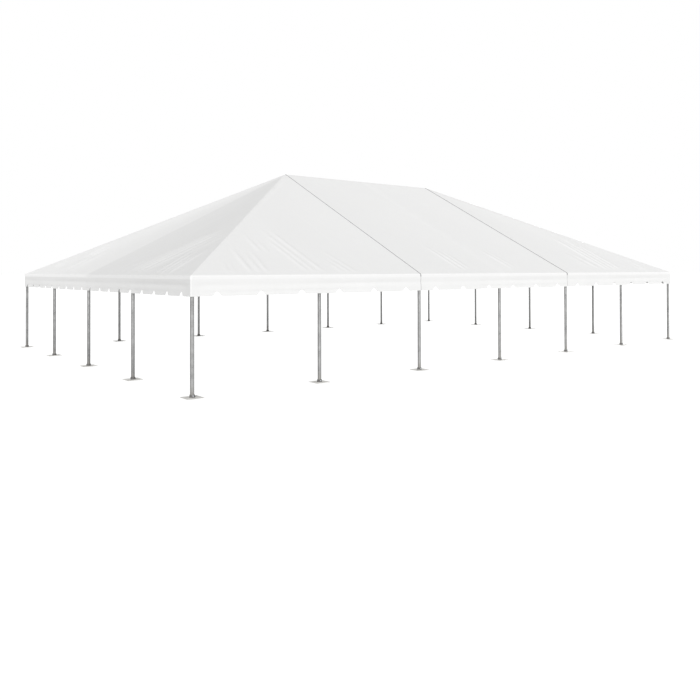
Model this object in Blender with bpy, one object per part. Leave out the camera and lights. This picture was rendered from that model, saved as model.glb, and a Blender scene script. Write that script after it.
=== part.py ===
"""A hip-roofed frame tent of 40 ft by 60 ft. A white vinyl top in three sections, with a scalloped
valance hanging from its edge, is stretched over an aluminium tube frame that stands on twenty legs.

Metres, +Z up. X runs along the ridge, and the middle of the plan is the origin."""

import math

import bmesh
import bpy
from mathutils import Vector

# Plan, to the centres of the legs
FRAME_LENGTH = 18.288
FRAME_WIDTH = 12.192
LONG_BAYS = 6
WIDE_BAYS = 4
LONG_BAY = FRAME_LENGTH / LONG_BAYS
WIDE_BAY = FRAME_WIDTH / WIDE_BAYS
HALF_LONG = FRAME_LENGTH / 2
HALF_WIDE = FRAME_WIDTH / 2
HALF_RIDGE = HALF_LONG - HALF_WIDE

# Vinyl top, which overhangs the legs a little on every side
EDGE_OVERHANG = 0.065
EDGE_HEIGHT = 2.385
ROOF_HEIGHT = 3.135
TOP_THICKNESS = 0.012
LIP_HEIGHT = 0.085
SEAM_GAP = 0.0003
PEAK_HEIGHT = EDGE_HEIGHT + ROOF_HEIGHT
TOP_HALF_LONG = HALF_LONG + EDGE_OVERHANG
TOP_HALF_WIDE = HALF_WIDE + EDGE_OVERHANG
SLOPE = ROOF_HEIGHT / TOP_HALF_WIDE
PITCH = math.atan(SLOPE)
TOP_DROP = TOP_THICKNESS / math.cos(PITCH)
LIP_BOTTOM = EDGE_HEIGHT - LIP_HEIGHT

# Valance
VALANCE_HEIGHT = 0.325
VALANCE_TOP = LIP_BOTTOM - SEAM_GAP
VALANCE_BOTTOM = VALANCE_TOP - VALANCE_HEIGHT
NOTCHES = 18
NOTCH_WIDTH_SHARE = 0.25
NOTCH_DEPTH = 0.090
NOTCH_STEPS = 6

# Frame tubes and the fittings that join them
TUBE_RADIUS = 0.032
SLEEVE_THICKNESS = 0.005
SLEEVE_RADIUS = TUBE_RADIUS + SLEEVE_THICKNESS
SLEEVE_REACH = 0.160
ARM_START = SLEEVE_RADIUS / 5
FIT_GAP = 0.0003
ROUND_SIDES = 16
FRAME_DROP = TOP_DROP + (SLEEVE_RADIUS + FIT_GAP) / math.cos(PITCH)

# Crown fittings
CROWN_REACH = 0.240
HUB_RADIUS = 2 * SLEEVE_RADIUS
HUB_HEIGHT = 0.140
HUB_TOP_BELOW = SLEEVE_RADIUS / 2
CORE_RADIUS = 0.9 * SLEEVE_RADIUS
CORE_ABOVE = SLEEVE_RADIUS / 4

# Legs
LEG_RADIUS = 0.040
COLLAR_THICKNESS = 0.0125
COLLAR_RADIUS = LEG_RADIUS + COLLAR_THICKNESS
COLLAR_HEIGHT = 0.050
PLATE_LENGTH = 0.356
PLATE_THICKNESS = 0.010
COLLAR_SINK = PLATE_THICKNESS / 5

# Upright sockets of the eave fittings, which stand on the legs
SOCKET_THICKNESS = 0.006
SOCKET_RADIUS = LEG_RADIUS + SOCKET_THICKNESS
SOCKET_HEIGHT = 0.160
SOCKET_TOP_BELOW = SLEEVE_RADIUS / 3

for old in list(bpy.data.objects):
    bpy.data.objects.remove(old, do_unlink=True)

tent_collection = bpy.data.collections.new("frame_tent")
helper_collection = bpy.data.collections.new("helpers")
bpy.context.scene.collection.children.link(tent_collection)
bpy.context.scene.collection.children.link(helper_collection)


def make_material(name, colour, roughness, metallic):
    material = bpy.data.materials.new(name)
    material.use_nodes = True
    shader = material.node_tree.nodes["Principled BSDF"]
    shader.inputs["Base Color"].default_value = (*colour, 1.0)
    shader.inputs["Roughness"].default_value = roughness
    shader.inputs["Metallic"].default_value = metallic
    return material


VINYL = make_material("white_vinyl", (0.86, 0.86, 0.86), 0.45, 0.0)
LEG_METAL = make_material("leg_aluminium", (0.55, 0.56, 0.57), 0.38, 0.9)
FRAME_METAL = make_material("frame_aluminium", (0.60, 0.61, 0.62), 0.35, 0.9)
CAST_METAL = make_material("cast_aluminium", (0.48, 0.49, 0.50), 0.50, 0.9)


def add_object(name, data, material):
    """A new object of the tent, with its material."""
    item = bpy.data.objects.new(name, data)
    data.materials.append(material)
    tent_collection.objects.link(item)
    return item


def make_helper(item):
    """An object that only cuts or joins another one."""
    tent_collection.objects.unlink(item)
    helper_collection.objects.link(item)
    item.hide_render = True
    item.display_type = "WIRE"


def combine(item, helper, operation):
    """Joins, cuts or trims an object with a helper."""
    make_helper(helper)
    boolean = item.modifiers.new(helper.name, "BOOLEAN")
    boolean.operation = operation
    boolean.solver = "EXACT"
    boolean.object = helper


def add_rod(name, start, end, radius, material):
    """A round bar from one point to another, with its origin at the start."""
    along = end - start
    shape = bmesh.new()
    bmesh.ops.create_cone(
        shape,
        cap_ends=True,
        segments=ROUND_SIDES,
        radius1=radius,
        radius2=radius,
        depth=along.length,
    )
    bmesh.ops.translate(shape, verts=shape.verts, vec=(0, 0, along.length / 2))
    mesh = bpy.data.meshes.new(name)
    shape.to_mesh(mesh)
    shape.free()
    rod = add_object(name, mesh, material)
    rod.location = start
    rod.rotation_euler = along.to_track_quat("Z", "Y").to_euler()
    return rod


def add_box(name, low, high, material):
    """A box between two opposite corners."""
    shape = bmesh.new()
    bmesh.ops.create_cube(shape, size=1.0)
    mesh = bpy.data.meshes.new(name)
    bmesh.ops.scale(shape, verts=shape.verts, vec=high - low)
    shape.to_mesh(mesh)
    shape.free()
    box = add_object(name, mesh, material)
    box.location = (low + high) / 2
    return box


def frame_point(x, y):
    """The point on the frame's centre lines under a point of the roof."""
    run = max(abs(y), abs(x) - HALF_RIDGE)
    return Vector((x, y, PEAK_HEIGHT - SLOPE * run - FRAME_DROP))


def add_sleeve(carrier, start, end):
    """One sleeve of a fitting, joined to the tube that carries it."""
    name = f"{carrier.name}_sleeve_{len(carrier.modifiers) + 1}"
    combine(carrier, add_rod(name, start, end, SLEEVE_RADIUS, CAST_METAL), "UNION")


def add_arm(carrier, centre, target, reach):
    """A sleeve from the middle of a fitting towards the far end of the tube that it holds."""
    along = (target - centre).normalized()
    add_sleeve(carrier, centre + along * ARM_START, centre + along * reach)


def add_through_sleeve(carrier, centre, target):
    """A sleeve that a tube runs through, with the fitting at its middle."""
    half = (target - centre).normalized() * SLEEVE_REACH
    add_sleeve(carrier, centre - half, centre + half)


def add_socket(carrier, centre):
    """The upright socket of an eave fitting, which stands on the leg."""
    foot = Vector((centre.x, centre.y, LEG_TOP + FIT_GAP))
    head = centre - Vector((0, 0, SOCKET_TOP_BELOW))
    name = f"{carrier.name}_socket_{len(carrier.modifiers) + 1}"
    combine(carrier, add_rod(name, foot, head, SOCKET_RADIUS, CAST_METAL), "UNION")


def trimmed(start, end, start_reach, end_reach):
    """The two ends of a tube that stops a fit gap short of the fittings at its ends."""
    along = (end - start).normalized()
    return start + along * (start_reach + FIT_GAP), end - along * (end_reach + FIT_GAP)


EAVE_HEIGHT = frame_point(HALF_LONG, 0).z
LEG_TOP = EAVE_HEIGHT - SOCKET_HEIGHT
SIDES = {"front": -1, "back": 1}
ENDS = {"left": -1, "right": 1}

# Legs, each with its collar and base plate


def add_leg(name, x, y):
    low = Vector((x - PLATE_LENGTH / 2, y - PLATE_LENGTH / 2, 0))
    high = Vector((x + PLATE_LENGTH / 2, y + PLATE_LENGTH / 2, PLATE_THICKNESS))
    leg = add_box(name, low, high, LEG_METAL)
    foot = Vector((x, y, PLATE_THICKNESS - COLLAR_SINK))
    collar_top = Vector((x, y, PLATE_THICKNESS + COLLAR_HEIGHT))
    combine(leg, add_rod(f"{name}_collar", foot, collar_top, COLLAR_RADIUS, LEG_METAL), "UNION")
    leg_top = Vector((x, y, LEG_TOP))
    combine(leg, add_rod(f"{name}_tube", foot, leg_top, LEG_RADIUS, LEG_METAL), "UNION")


for side, sign in SIDES.items():
    for place in range(LONG_BAYS + 1):
        add_leg(f"leg_{side}_{place + 1}", LONG_BAY * place - HALF_LONG, sign * HALF_WIDE)
for end, sign in ENDS.items():
    for place in range(1, WIDE_BAYS):
        add_leg(f"leg_{end}_{place}", sign * HALF_LONG, WIDE_BAY * place - HALF_WIDE)

# Long eave rails, with the corner fittings and the fittings over their legs

for side, sign in SIDES.items():
    y = sign * HALF_WIDE
    corners = [frame_point(end_sign * HALF_LONG, y) for end_sign in ENDS.values()]
    ends_in_sleeves = trimmed(*corners, SLEEVE_REACH / 2, SLEEVE_REACH / 2)
    rail = add_rod(f"eave_rail_{side}", *ends_in_sleeves, TUBE_RADIUS, FRAME_METAL)
    for place in range(LONG_BAYS + 1):
        x = LONG_BAY * place - HALF_LONG
        centre = frame_point(x, y)
        if 0 < place < LONG_BAYS:
            add_through_sleeve(rail, centre, frame_point(x + LONG_BAY, y))
            add_arm(rail, centre, frame_point(x, y - sign * WIDE_BAY), SLEEVE_REACH)
        else:
            for target in (frame_point(0, y), frame_point(x, 0)):
                add_arm(rail, centre, target, SLEEVE_REACH)
            hip_top = frame_point(math.copysign(HALF_RIDGE, x), 0)
            add_arm(rail, centre, hip_top, SLEEVE_REACH)
        add_socket(rail, centre)

# End eave rails, between the corner fittings

for end, sign in ENDS.items():
    x = sign * HALF_LONG
    corners = [frame_point(x, side_sign * HALF_WIDE) for side_sign in SIDES.values()]
    start, stop = trimmed(*corners, SLEEVE_REACH, SLEEVE_REACH)
    rail = add_rod(f"eave_rail_{end}", start, stop, TUBE_RADIUS, FRAME_METAL)
    for place in range(1, WIDE_BAYS):
        y = WIDE_BAY * place - HALF_WIDE
        centre = frame_point(x, y)
        add_through_sleeve(rail, centre, frame_point(x, y + WIDE_BAY))
        add_arm(rail, centre, frame_point(x - sign * LONG_BAY, y), SLEEVE_REACH)
        add_socket(rail, centre)

# Crown fittings at the two ends of the ridge

for end, sign in ENDS.items():
    centre = frame_point(sign * HALF_RIDGE, 0)
    hub_top = centre - Vector((0, 0, HUB_TOP_BELOW))
    hub_bottom = hub_top - Vector((0, 0, HUB_HEIGHT))
    crown = add_rod(f"crown_{end}", hub_bottom, hub_top, HUB_RADIUS, CAST_METAL)
    core_top = centre + Vector((0, 0, CORE_ABOVE))
    core_foot = hub_top - Vector((0, 0, HUB_HEIGHT / 2))
    core = add_rod(f"crown_{end}_core", core_foot, core_top, CORE_RADIUS, CAST_METAL)
    combine(crown, core, "UNION")
    targets = [frame_point(sign * HALF_LONG, y) for y in (-HALF_WIDE, 0, HALF_WIDE)]
    targets += [frame_point(sign * HALF_RIDGE, y) for y in (-HALF_WIDE, HALF_WIDE)]
    targets.append(frame_point(0, 0))
    for target in targets:
        add_arm(crown, centre, target, CROWN_REACH)

# Ridge tube with the two middle rafters that hang from its fitting

ridge_ends = [frame_point(sign * HALF_RIDGE, 0) for sign in ENDS.values()]
ridge = add_rod("ridge_tube", *trimmed(*ridge_ends, CROWN_REACH, CROWN_REACH), TUBE_RADIUS, FRAME_METAL)
ridge_middle = frame_point(0, 0)
add_through_sleeve(ridge, ridge_middle, ridge_ends[1])
for side, sign in SIDES.items():
    eave = frame_point(0, sign * HALF_WIDE)
    points = trimmed(ridge_middle, eave, SLEEVE_REACH / 2, SLEEVE_REACH)
    rafter = add_rod(f"ridge_rafter_{side}", *points, TUBE_RADIUS, FRAME_METAL)
    add_arm(ridge, ridge_middle, eave, SLEEVE_REACH)
    combine(ridge, rafter, "UNION")

# Rafters from the crowns to the long eaves and to the middles of the ends

for end, end_sign in ENDS.items():
    crown_point = frame_point(end_sign * HALF_RIDGE, 0)
    for side, side_sign in SIDES.items():
        eave = frame_point(end_sign * HALF_RIDGE, side_sign * HALF_WIDE)
        points = trimmed(eave, crown_point, SLEEVE_REACH, CROWN_REACH)
        add_rod(f"rafter_{side}_{end}", *points, TUBE_RADIUS, FRAME_METAL)
    eave = frame_point(end_sign * HALF_LONG, 0)
    points = trimmed(eave, crown_point, SLEEVE_REACH, CROWN_REACH)
    add_rod(f"rafter_{end}_middle", *points, TUBE_RADIUS, FRAME_METAL)

# Hip rafters, each with the two short rafters that it carries halfway up

for end, end_sign in ENDS.items():
    for side, side_sign in SIDES.items():
        corner = frame_point(end_sign * HALF_LONG, side_sign * HALF_WIDE)
        crown_point = frame_point(end_sign * HALF_RIDGE, 0)
        points = trimmed(corner, crown_point, SLEEVE_REACH, CROWN_REACH)
        hip = add_rod(f"hip_rafter_{side}_{end}", *points, TUBE_RADIUS, FRAME_METAL)
        middle = (corner + crown_point) / 2
        add_through_sleeve(hip, middle, crown_point)
        feet = [
            frame_point(middle.x, side_sign * HALF_WIDE),
            frame_point(end_sign * HALF_LONG, middle.y),
        ]
        for number, foot in enumerate(feet, start=1):
            points = trimmed(middle, foot, SLEEVE_REACH / 2, SLEEVE_REACH)
            short = add_rod(f"{hip.name}_short_{number}", *points, TUBE_RADIUS, FRAME_METAL)
            add_arm(hip, middle, foot, SLEEVE_REACH)
            combine(hip, short, "UNION")

# Vinyl top: a hip roof with a short upright lip, cut into three sections


def add_roof_block(name, inset, drop, bottom):
    """A solid hip roof, moved inwards and down from the top's outer face."""
    long_side = TOP_HALF_LONG - inset
    wide_side = TOP_HALF_WIDE - inset
    edge = EDGE_HEIGHT + SLOPE * inset - drop
    shape = bmesh.new()
    for x in (-1, 1):
        shape.verts.new((x * HALF_RIDGE, 0, PEAK_HEIGHT - drop))
        for y in (-1, 1):
            shape.verts.new((x * long_side, y * wide_side, edge))
            shape.verts.new((x * long_side, y * wide_side, bottom))
    bmesh.ops.convex_hull(shape, input=shape.verts)
    mesh = bpy.data.meshes.new(name)
    shape.to_mesh(mesh)
    shape.free()
    return add_object(name, mesh, VINYL)


CUT_PAST = 0.5
seam = HALF_RIDGE
far = TOP_HALF_LONG + CUT_PAST
TOP_SECTIONS = {
    "top_left": (-far, -seam - SEAM_GAP / 2),
    "top_middle": (-seam + SEAM_GAP / 2, seam - SEAM_GAP / 2),
    "top_right": (seam + SEAM_GAP / 2, far),
}
for name, (x_low, x_high) in TOP_SECTIONS.items():
    section = add_roof_block(name, 0, 0, LIP_BOTTOM)
    inside = add_roof_block(f"{name}_inside", TOP_THICKNESS, TOP_DROP, LIP_BOTTOM - CUT_PAST)
    combine(section, inside, "DIFFERENCE")
    low = Vector((x_low, -TOP_HALF_WIDE - CUT_PAST, LIP_BOTTOM - CUT_PAST))
    high = Vector((x_high, TOP_HALF_WIDE + CUT_PAST, PEAK_HEIGHT + CUT_PAST))
    combine(section, add_box(f"{name}_part", low, high, VINYL), "INTERSECT")

# Valance: four flat strips with rounded notches along the lower edge


def add_valance(name, half_length, notched_length, middle, turn):
    """A strip seen from outside, drawn flat and then stood up under the top's lip."""
    pitch = notched_length / NOTCHES
    half_notch = pitch * NOTCH_WIDTH_SHARE / 2
    outline = [(-half_length, VALANCE_TOP), (-half_length, VALANCE_BOTTOM)]
    for notch in range(NOTCHES):
        centre = pitch * (notch + 0.5) - notched_length / 2
        for step in range(NOTCH_STEPS + 1):
            share = 2 * step / NOTCH_STEPS - 1
            rise = NOTCH_DEPTH * math.cos(share * math.pi / 2) ** 2
            outline.append((centre + share * half_notch, VALANCE_BOTTOM + rise))
    outline += [(half_length, VALANCE_BOTTOM), (half_length, VALANCE_TOP)]
    curve = bpy.data.curves.new(name, "CURVE")
    curve.dimensions = "2D"
    curve.fill_mode = "BOTH"
    curve.extrude = TOP_THICKNESS / 2
    line = curve.splines.new("POLY")
    line.points.add(len(outline) - 1)
    for point, (x, z) in zip(line.points, outline):
        point.co = (x, z, 0, 1)
    line.use_cyclic_u = True
    strip = add_object(name, curve, VINYL)
    strip.location = middle
    strip.rotation_euler = (math.pi / 2, 0, turn)


long_middle = TOP_HALF_WIDE - TOP_THICKNESS / 2
wide_middle = TOP_HALF_LONG - TOP_THICKNESS / 2
end_half_length = TOP_HALF_WIDE - TOP_THICKNESS - SEAM_GAP
for side, sign in SIDES.items():
    add_valance(f"valance_{side}", TOP_HALF_LONG, 2 * HALF_LONG, (0, sign * long_middle, 0), 0)
for end, sign in ENDS.items():
    middle = (sign * wide_middle, 0, 0)
    add_valance(f"valance_{end}", end_half_length, 2 * HALF_WIDE, middle, math.pi / 2)
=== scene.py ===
# %% [markdown]
# # A white frame tent of 40 ft by 60 ft
#
# The tent is a hall without walls: twenty aluminium legs on steel base plates carry a roof of
# round tubes, and a white vinyl top in three sections is stretched over it. A scalloped valance
# hangs from the edge on all four sides.
#
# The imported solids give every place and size. This script loads them as a frame and dresses
# them: it makes the cloth as curved sheets, gives the tubes their fittings, bolts and welds, and
# lights the whole with soft studio light.

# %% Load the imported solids
import math

import bpy
import numpy as np
from mathutils import Matrix, Vector


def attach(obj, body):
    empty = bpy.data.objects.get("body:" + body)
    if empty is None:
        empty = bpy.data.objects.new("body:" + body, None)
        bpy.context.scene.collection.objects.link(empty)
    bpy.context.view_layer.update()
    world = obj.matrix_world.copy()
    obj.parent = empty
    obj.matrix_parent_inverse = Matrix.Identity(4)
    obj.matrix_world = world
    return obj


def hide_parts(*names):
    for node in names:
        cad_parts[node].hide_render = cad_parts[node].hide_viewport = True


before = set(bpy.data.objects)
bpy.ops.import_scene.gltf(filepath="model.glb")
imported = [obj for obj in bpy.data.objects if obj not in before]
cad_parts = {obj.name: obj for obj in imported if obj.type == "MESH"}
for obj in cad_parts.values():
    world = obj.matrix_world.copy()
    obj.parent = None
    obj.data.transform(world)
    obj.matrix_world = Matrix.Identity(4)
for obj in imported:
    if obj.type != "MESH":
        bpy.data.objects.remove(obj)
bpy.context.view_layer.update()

# %% [markdown]
# ## Sizes
#
# All lengths are in metres. X runs along the ridge, Y across the tent and Z up, and the middle of
# the plan on the ground is the origin. The sizes are the ones the solids were made from, so that
# a sheet lands exactly where its solid is.

# %% Sizes of the plan, the roof and the valance
BAY = 3.048
HALF_LONG = 3 * BAY
HALF_WIDE = 2 * BAY
HALF_RIDGE = HALF_LONG - HALF_WIDE
OVERHANG = 0.065
EDGE_X = HALF_LONG + OVERHANG
EDGE_Y = HALF_WIDE + OVERHANG
EDGE_Z = 2.385
PEAK_Z = 5.520
SLOPE = (PEAK_Z - EDGE_Z) / EDGE_Y
PITCH = math.atan(SLOPE)
LIP_BOTTOM = 2.300
VALANCE_BOTTOM = 1.9747
CLOTH = 0.003
LONG_SIDES = (("front", -1), ("back", 1))
ENDS = (("left", -1), ("right", 1))

print("roof pitch in degrees:", round(math.degrees(PITCH), 2))

# %% [markdown]
# ## Shapes from numpy grids
#
# Every new shape is a grid of points that depends on two parameters. The points are worked out as
# whole arrays, and each point is joined to its neighbours by a face. Here a shape is three things:
# its points, its faces, and for each corner of a face a place on a flat map. The map is measured
# in metres, so that the weave of the cloth or the scratches on a tube keep their real size.
#
# The pieces could also be pushed into shape by hand, but a formula lands exactly on its solid, and
# a size can be changed later in one place.


# %% Grids and fans
def stacked(*parts):
    """Numbers and arrays of shapes that fit together, side by side on the last axis."""
    return np.stack(np.broadcast_arrays(*parts), axis=-1)


def grid_shape(points, u, v, wrap=False, flip=False):
    """Quads between the neighbours of a (rows, columns) grid. With wrap, the last column is
    joined to the first, and the map has one column more than the grid."""
    rows, columns = points.shape[:2]
    i, j = np.meshgrid(np.arange(rows - 1), np.arange(columns if wrap else columns - 1), indexing="ij")
    k = (j + 1) % columns
    quads = stacked(i * columns + j, (i + 1) * columns + j, (i + 1) * columns + k, i * columns + k)
    flat = stacked(u, v)
    corners = np.stack([flat[:-1, :-1], flat[1:, :-1], flat[1:, 1:], flat[:-1, 1:]], axis=2)
    quads, corners = quads.reshape(-1, 4), corners.reshape(-1, 4, 2)
    if flip:
        quads, corners = quads[:, ::-1], corners[:, ::-1]
    return points.reshape(-1, 3), [quads], [corners]


def fan_shape(ring, middle, u, v, closed=False, flip=False):
    """Triangles from a middle point to each pair of neighbours on a line or a closed ring."""
    count = len(ring)
    j = np.arange(count if closed else count - 1)
    triangles = stacked(count, j, (j + 1) % count)
    rim = stacked(u, v).reshape(-1, 2)[:count]
    corners = np.concatenate([rim, [[np.mean(u), np.mean(v)]]])[triangles]
    if flip:
        triangles, corners = triangles[:, ::-1], corners[:, ::-1]
    return np.concatenate([ring, [middle]]), [triangles], [corners]


# %% Shapes joined, welded and closed
def join_shapes(*shapes):
    """One shape of several: the face numbers of each go up by the points before it."""
    starts = np.cumsum([0] + [len(points) for points, _, _ in shapes])
    faces = [f + start for (_, group, _), start in zip(shapes, starts) for f in group]
    corners = [c for _, _, group in shapes for c in group]
    return np.concatenate([points for points, _, _ in shapes]), faces, corners


def weld_shape(shape):
    """Points at the same place, to a hundredth of a millimetre, become one point."""
    points, faces, corners = shape
    cells = np.round(points * 1e5).astype(np.int64)
    _, first, number = np.unique(cells, axis=0, return_index=True, return_inverse=True)
    number = number.reshape(-1)
    return points[first], [number[f] for f in faces], corners


def capped_shape(rings, around, along, flip=False):
    """A skin round a row of closed rings, and a disc from each end ring to its middle."""
    skin = grid_shape(rings, around[None, :], along[:, None], wrap=True, flip=flip)
    discs = [
        fan_shape(rings[end], rings[end].mean(axis=0), around, along[end], closed=True, flip=turned_over)
        for end, turned_over in ((0, flip), (-1, not flip))
    ]
    return weld_shape(join_shapes(skin, *discs))


# %% A shape becomes a piece
def make_piece(name, shape, material, sharp=None):
    """A smooth mesh object at the origin, with its place in its points. Past the sharp angle, in
    degrees, two faces meet in a hard edge."""
    points, faces, corners = shape
    mesh = bpy.data.meshes.new(name)
    sizes = np.concatenate([np.full(len(f), f.shape[1]) for f in faces])
    numbers = np.concatenate([f.reshape(-1) for f in faces])
    mesh.vertices.add(len(points))
    mesh.vertices.foreach_set("co", np.ascontiguousarray(points, np.float32).reshape(-1))
    mesh.loops.add(len(numbers))
    mesh.loops.foreach_set("vertex_index", numbers.astype(np.int32))
    mesh.polygons.add(len(sizes))
    mesh.polygons.foreach_set("loop_start", np.concatenate([[0], np.cumsum(sizes)[:-1]]).astype(np.int32))
    mesh.update(calc_edges=True)
    mesh.polygons.foreach_set("use_smooth", np.ones(len(sizes), bool))
    layer = mesh.uv_layers.new(name="UVMap")
    flat = np.concatenate([c.reshape(-1, 2) for c in corners])
    layer.data.foreach_set("uv", np.ascontiguousarray(flat, np.float32).reshape(-1))
    mesh.materials.append(material)
    if sharp is not None:
        mesh.set_sharp_from_angle(angle=math.radians(sharp))
    piece = bpy.data.objects.new(name, mesh)
    bpy.context.scene.collection.objects.link(piece)
    return piece


def dress(piece, slot, *nodes):
    """The piece rides with the tent and stands for its solids. The slot is not used."""
    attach(piece, "root")
    if nodes:
        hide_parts(*nodes)
    return piece


# %% Steps and curves
def spread(*runs):
    """Points on a line in runs of (start, end, count), without doubles where two runs meet."""
    lines = [np.linspace(low, high, count + 1) for low, high, count in runs]
    return np.concatenate([lines[0]] + [line[1:] for line in lines[1:]])


def smooth_step(value, low, high):
    """0 below low, 1 above high, and an S curve in between."""
    t = np.clip((value - low) / (high - low), 0, 1)
    return t * t * (3 - 2 * t)


def bell(distance, width):
    """1 in the middle, 1 / e at the width to both sides, and nothing far away."""
    return np.exp(-((distance / width) ** 2))


print("an S curve and a bell at a quarter:", round(smooth_step(0.25, 0, 1), 3), round(bell(0.25, 1), 3))


# %% [markdown]
# ## Finishes
#
# White tent vinyl is a woven polyester scrim between two coats of soft PVC. Close up it shows a
# fine weave under a satin skin; from afar it shows faint cloudy stains, and it is a little greyer
# where water runs. The widths of cloth are welded together every five feet, which leaves a
# slightly raised, slightly greyer line.
#
# Each finish is a small network of nodes. Photographs of cloth and metal would do it too, but a
# pattern of nodes has no edges or repeats and keeps its size on a tent of eighteen metres. A
# helper adds one node at a time and links it, so the networks below read from top to bottom.


# %% A helper for shader networks
def plug(tree, socket, value):
    """Links another node's output to a socket, or sets the socket's own value."""
    if isinstance(value, bpy.types.NodeSocket):
        tree.links.new(value, socket)
    else:
        socket.default_value = value


class Finish:
    """A material whose nodes are added one at a time, with their settings and links."""

    def __init__(self, name):
        self.material = bpy.data.materials.new(name)
        self.material.use_nodes = True
        self.tree = self.material.node_tree
        self.shader = self.tree.nodes["Principled BSDF"]
        self.place = self.add("ShaderNodeTexCoord").outputs["Object"]
        self.flat = self.add("ShaderNodeUVMap").outputs["UV"]

    def add(self, kind, settings=None, **inputs):
        """One node with its settings; a socket's name has an underline for each space."""
        node = self.tree.nodes.new(kind)
        for key, value in (settings or {}).items():
            setattr(node, key, value)
        for key, value in inputs.items():
            plug(self.tree, node.inputs[key.replace("_", " ")], value)
        return node

    def math(self, operation, *values):
        """A sum, a product or another operation on outputs and numbers."""
        node = self.add("ShaderNodeMath", {"operation": operation})
        for socket, value in zip(node.inputs, values):
            plug(self.tree, socket, value)
        return node.outputs["Value"]

    def ramp(self, source, *stops):
        """A colour ramp through stops of (place, colour), where a colour may be one grey."""
        node = self.add("ShaderNodeValToRGB", Fac=source)
        elements = node.color_ramp.elements
        while len(elements) < len(stops):
            elements.new(0.5)
        for element, (place, colour) in zip(elements, stops):
            element.position = place
            element.color = (*((colour,) * 3 if isinstance(colour, float) else colour), 1.0)
        return node.outputs["Color"]

    def noise(self, vector, scale, detail=4.0, roughness=0.55):
        """Cloudy noise, with about as many clouds to the metre as the scale says."""
        node = self.add("ShaderNodeTexNoise", Vector=vector, Scale=scale, Detail=detail, Roughness=roughness)
        return node.outputs["Fac"]

    def stretched(self, vector, *scale):
        """A place with each of its axes scaled by a number of its own."""
        return self.add("ShaderNodeMapping", Vector=vector, Scale=scale).outputs["Vector"]

    def ribs(self, direction, spacing):
        """Waves across one direction of the flat map, at a spacing in metres."""
        settings = {"wave_type": "BANDS", "bands_direction": direction}
        scale = math.pi / 10 / spacing
        return self.add("ShaderNodeTexWave", settings, Vector=self.flat, Scale=scale).outputs["Fac"]

    def parts(self, vector):
        """The outputs X, Y and Z of a place."""
        return self.add("ShaderNodeSeparateXYZ", Vector=vector).outputs

    def bump(self, height, distance, strength, under=None):
        """Relief from a height between 0 and 1, which may lie on another relief."""
        node = self.add("ShaderNodeBump", Height=height, Distance=distance, Strength=strength)
        if under is not None:
            self.tree.links.new(under, node.inputs["Normal"])
        return node.outputs["Normal"]

    def mix(self, share, first, second):
        """The first colour where the share is 0 and the second where it is 1."""
        node = self.add("ShaderNodeMix", {"data_type": "RGBA", "blend_type": "MIX"})
        for number, value in ((0, share), (6, first), (7, second)):
            plug(self.tree, node.inputs[number], value)
        return node.outputs[2]

    def done(self, colour, rough, metallic=0.0, normal=None):
        """Plugs the results into the shader and gives the material back."""
        results = {"Base Color": colour, "Roughness": rough, "Metallic": metallic, "Normal": normal}
        for name, value in results.items():
            if value is not None:
                plug(self.tree, self.shader.inputs[name], value)
        return self.material


# %% White vinyl of the top and the valance
# The darkest that the painted shade makes the cloth, as a share of its dull tone.
DARKEST_PAINTED_SHADE = 0.835
WELD_TONE = 0.95
WEAVE = 0.002


def times(colour, share):
    """A darker colour, as a share of each of its parts, with its fourth part at 1."""
    return (*[part * share for part in colour], 1.0)


def make_vinyl(name, pale, dull, weld_spacing=None):
    """Satin white vinyl: faint clouds and runs in its tone, and a fine weave in relief. The number
    painted_shade on each point of the cloth is painted shade, which takes the cloth towards its greyest. A
    weld is where the distance to the nearest multiple of the spacing is under 12 mm."""
    net = Finish(name)
    clouds = net.noise(net.place, 0.5, 3.0)
    runs = net.noise(net.stretched(net.place, 3.0, 3.0, 0.8), 1.0, 4.0)
    colour = net.ramp(net.math("MULTIPLY", clouds, runs), (0.12, dull), (0.36, pale))
    rough = net.ramp(net.noise(net.place, 3.0), (0.3, 0.58), (0.7, 0.68))
    weave = net.math("ADD", net.ribs("X", WEAVE), net.ribs("Y", WEAVE))
    relief = net.bump(weave, 0.0002, 0.25)
    relief = net.bump(net.noise(net.place, 5.0, 3.0), 0.003, 0.05, relief)
    # Painted shade: a number kept on each point of the cloth darkens it.
    painted_shade = net.add("ShaderNodeAttribute", {"attribute_name": "painted_shade"}).outputs["Fac"]
    colour = net.mix(painted_shade, colour, times(dull, DARKEST_PAINTED_SHADE))
    if weld_spacing:
        along = net.parts(net.flat)["X"]
        from_weld = net.math("PINGPONG", along, weld_spacing / 2)
        weld = net.ramp(from_weld, (0.010, 1.0), (0.014, 0.0))
        colour = net.mix(net.math("MULTIPLY", weld, 0.30), colour, times(dull, WELD_TONE))
        relief = net.bump(weld, 0.0010, 0.5, relief)
    net.shader.inputs["Specular IOR Level"].default_value = 0.2
    return net.done(colour, rough, normal=relief)


TOP_VINYL = make_vinyl("top_vinyl_white", (0.875, 0.875, 0.872), (0.864, 0.864, 0.860), BAY / 2)
VALANCE_VINYL = make_vinyl("valance_vinyl_white", (0.760, 0.760, 0.757), (0.745, 0.745, 0.740))
print("vinyl finishes:", TOP_VINYL.name, VALANCE_VINYL.name)
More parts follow.
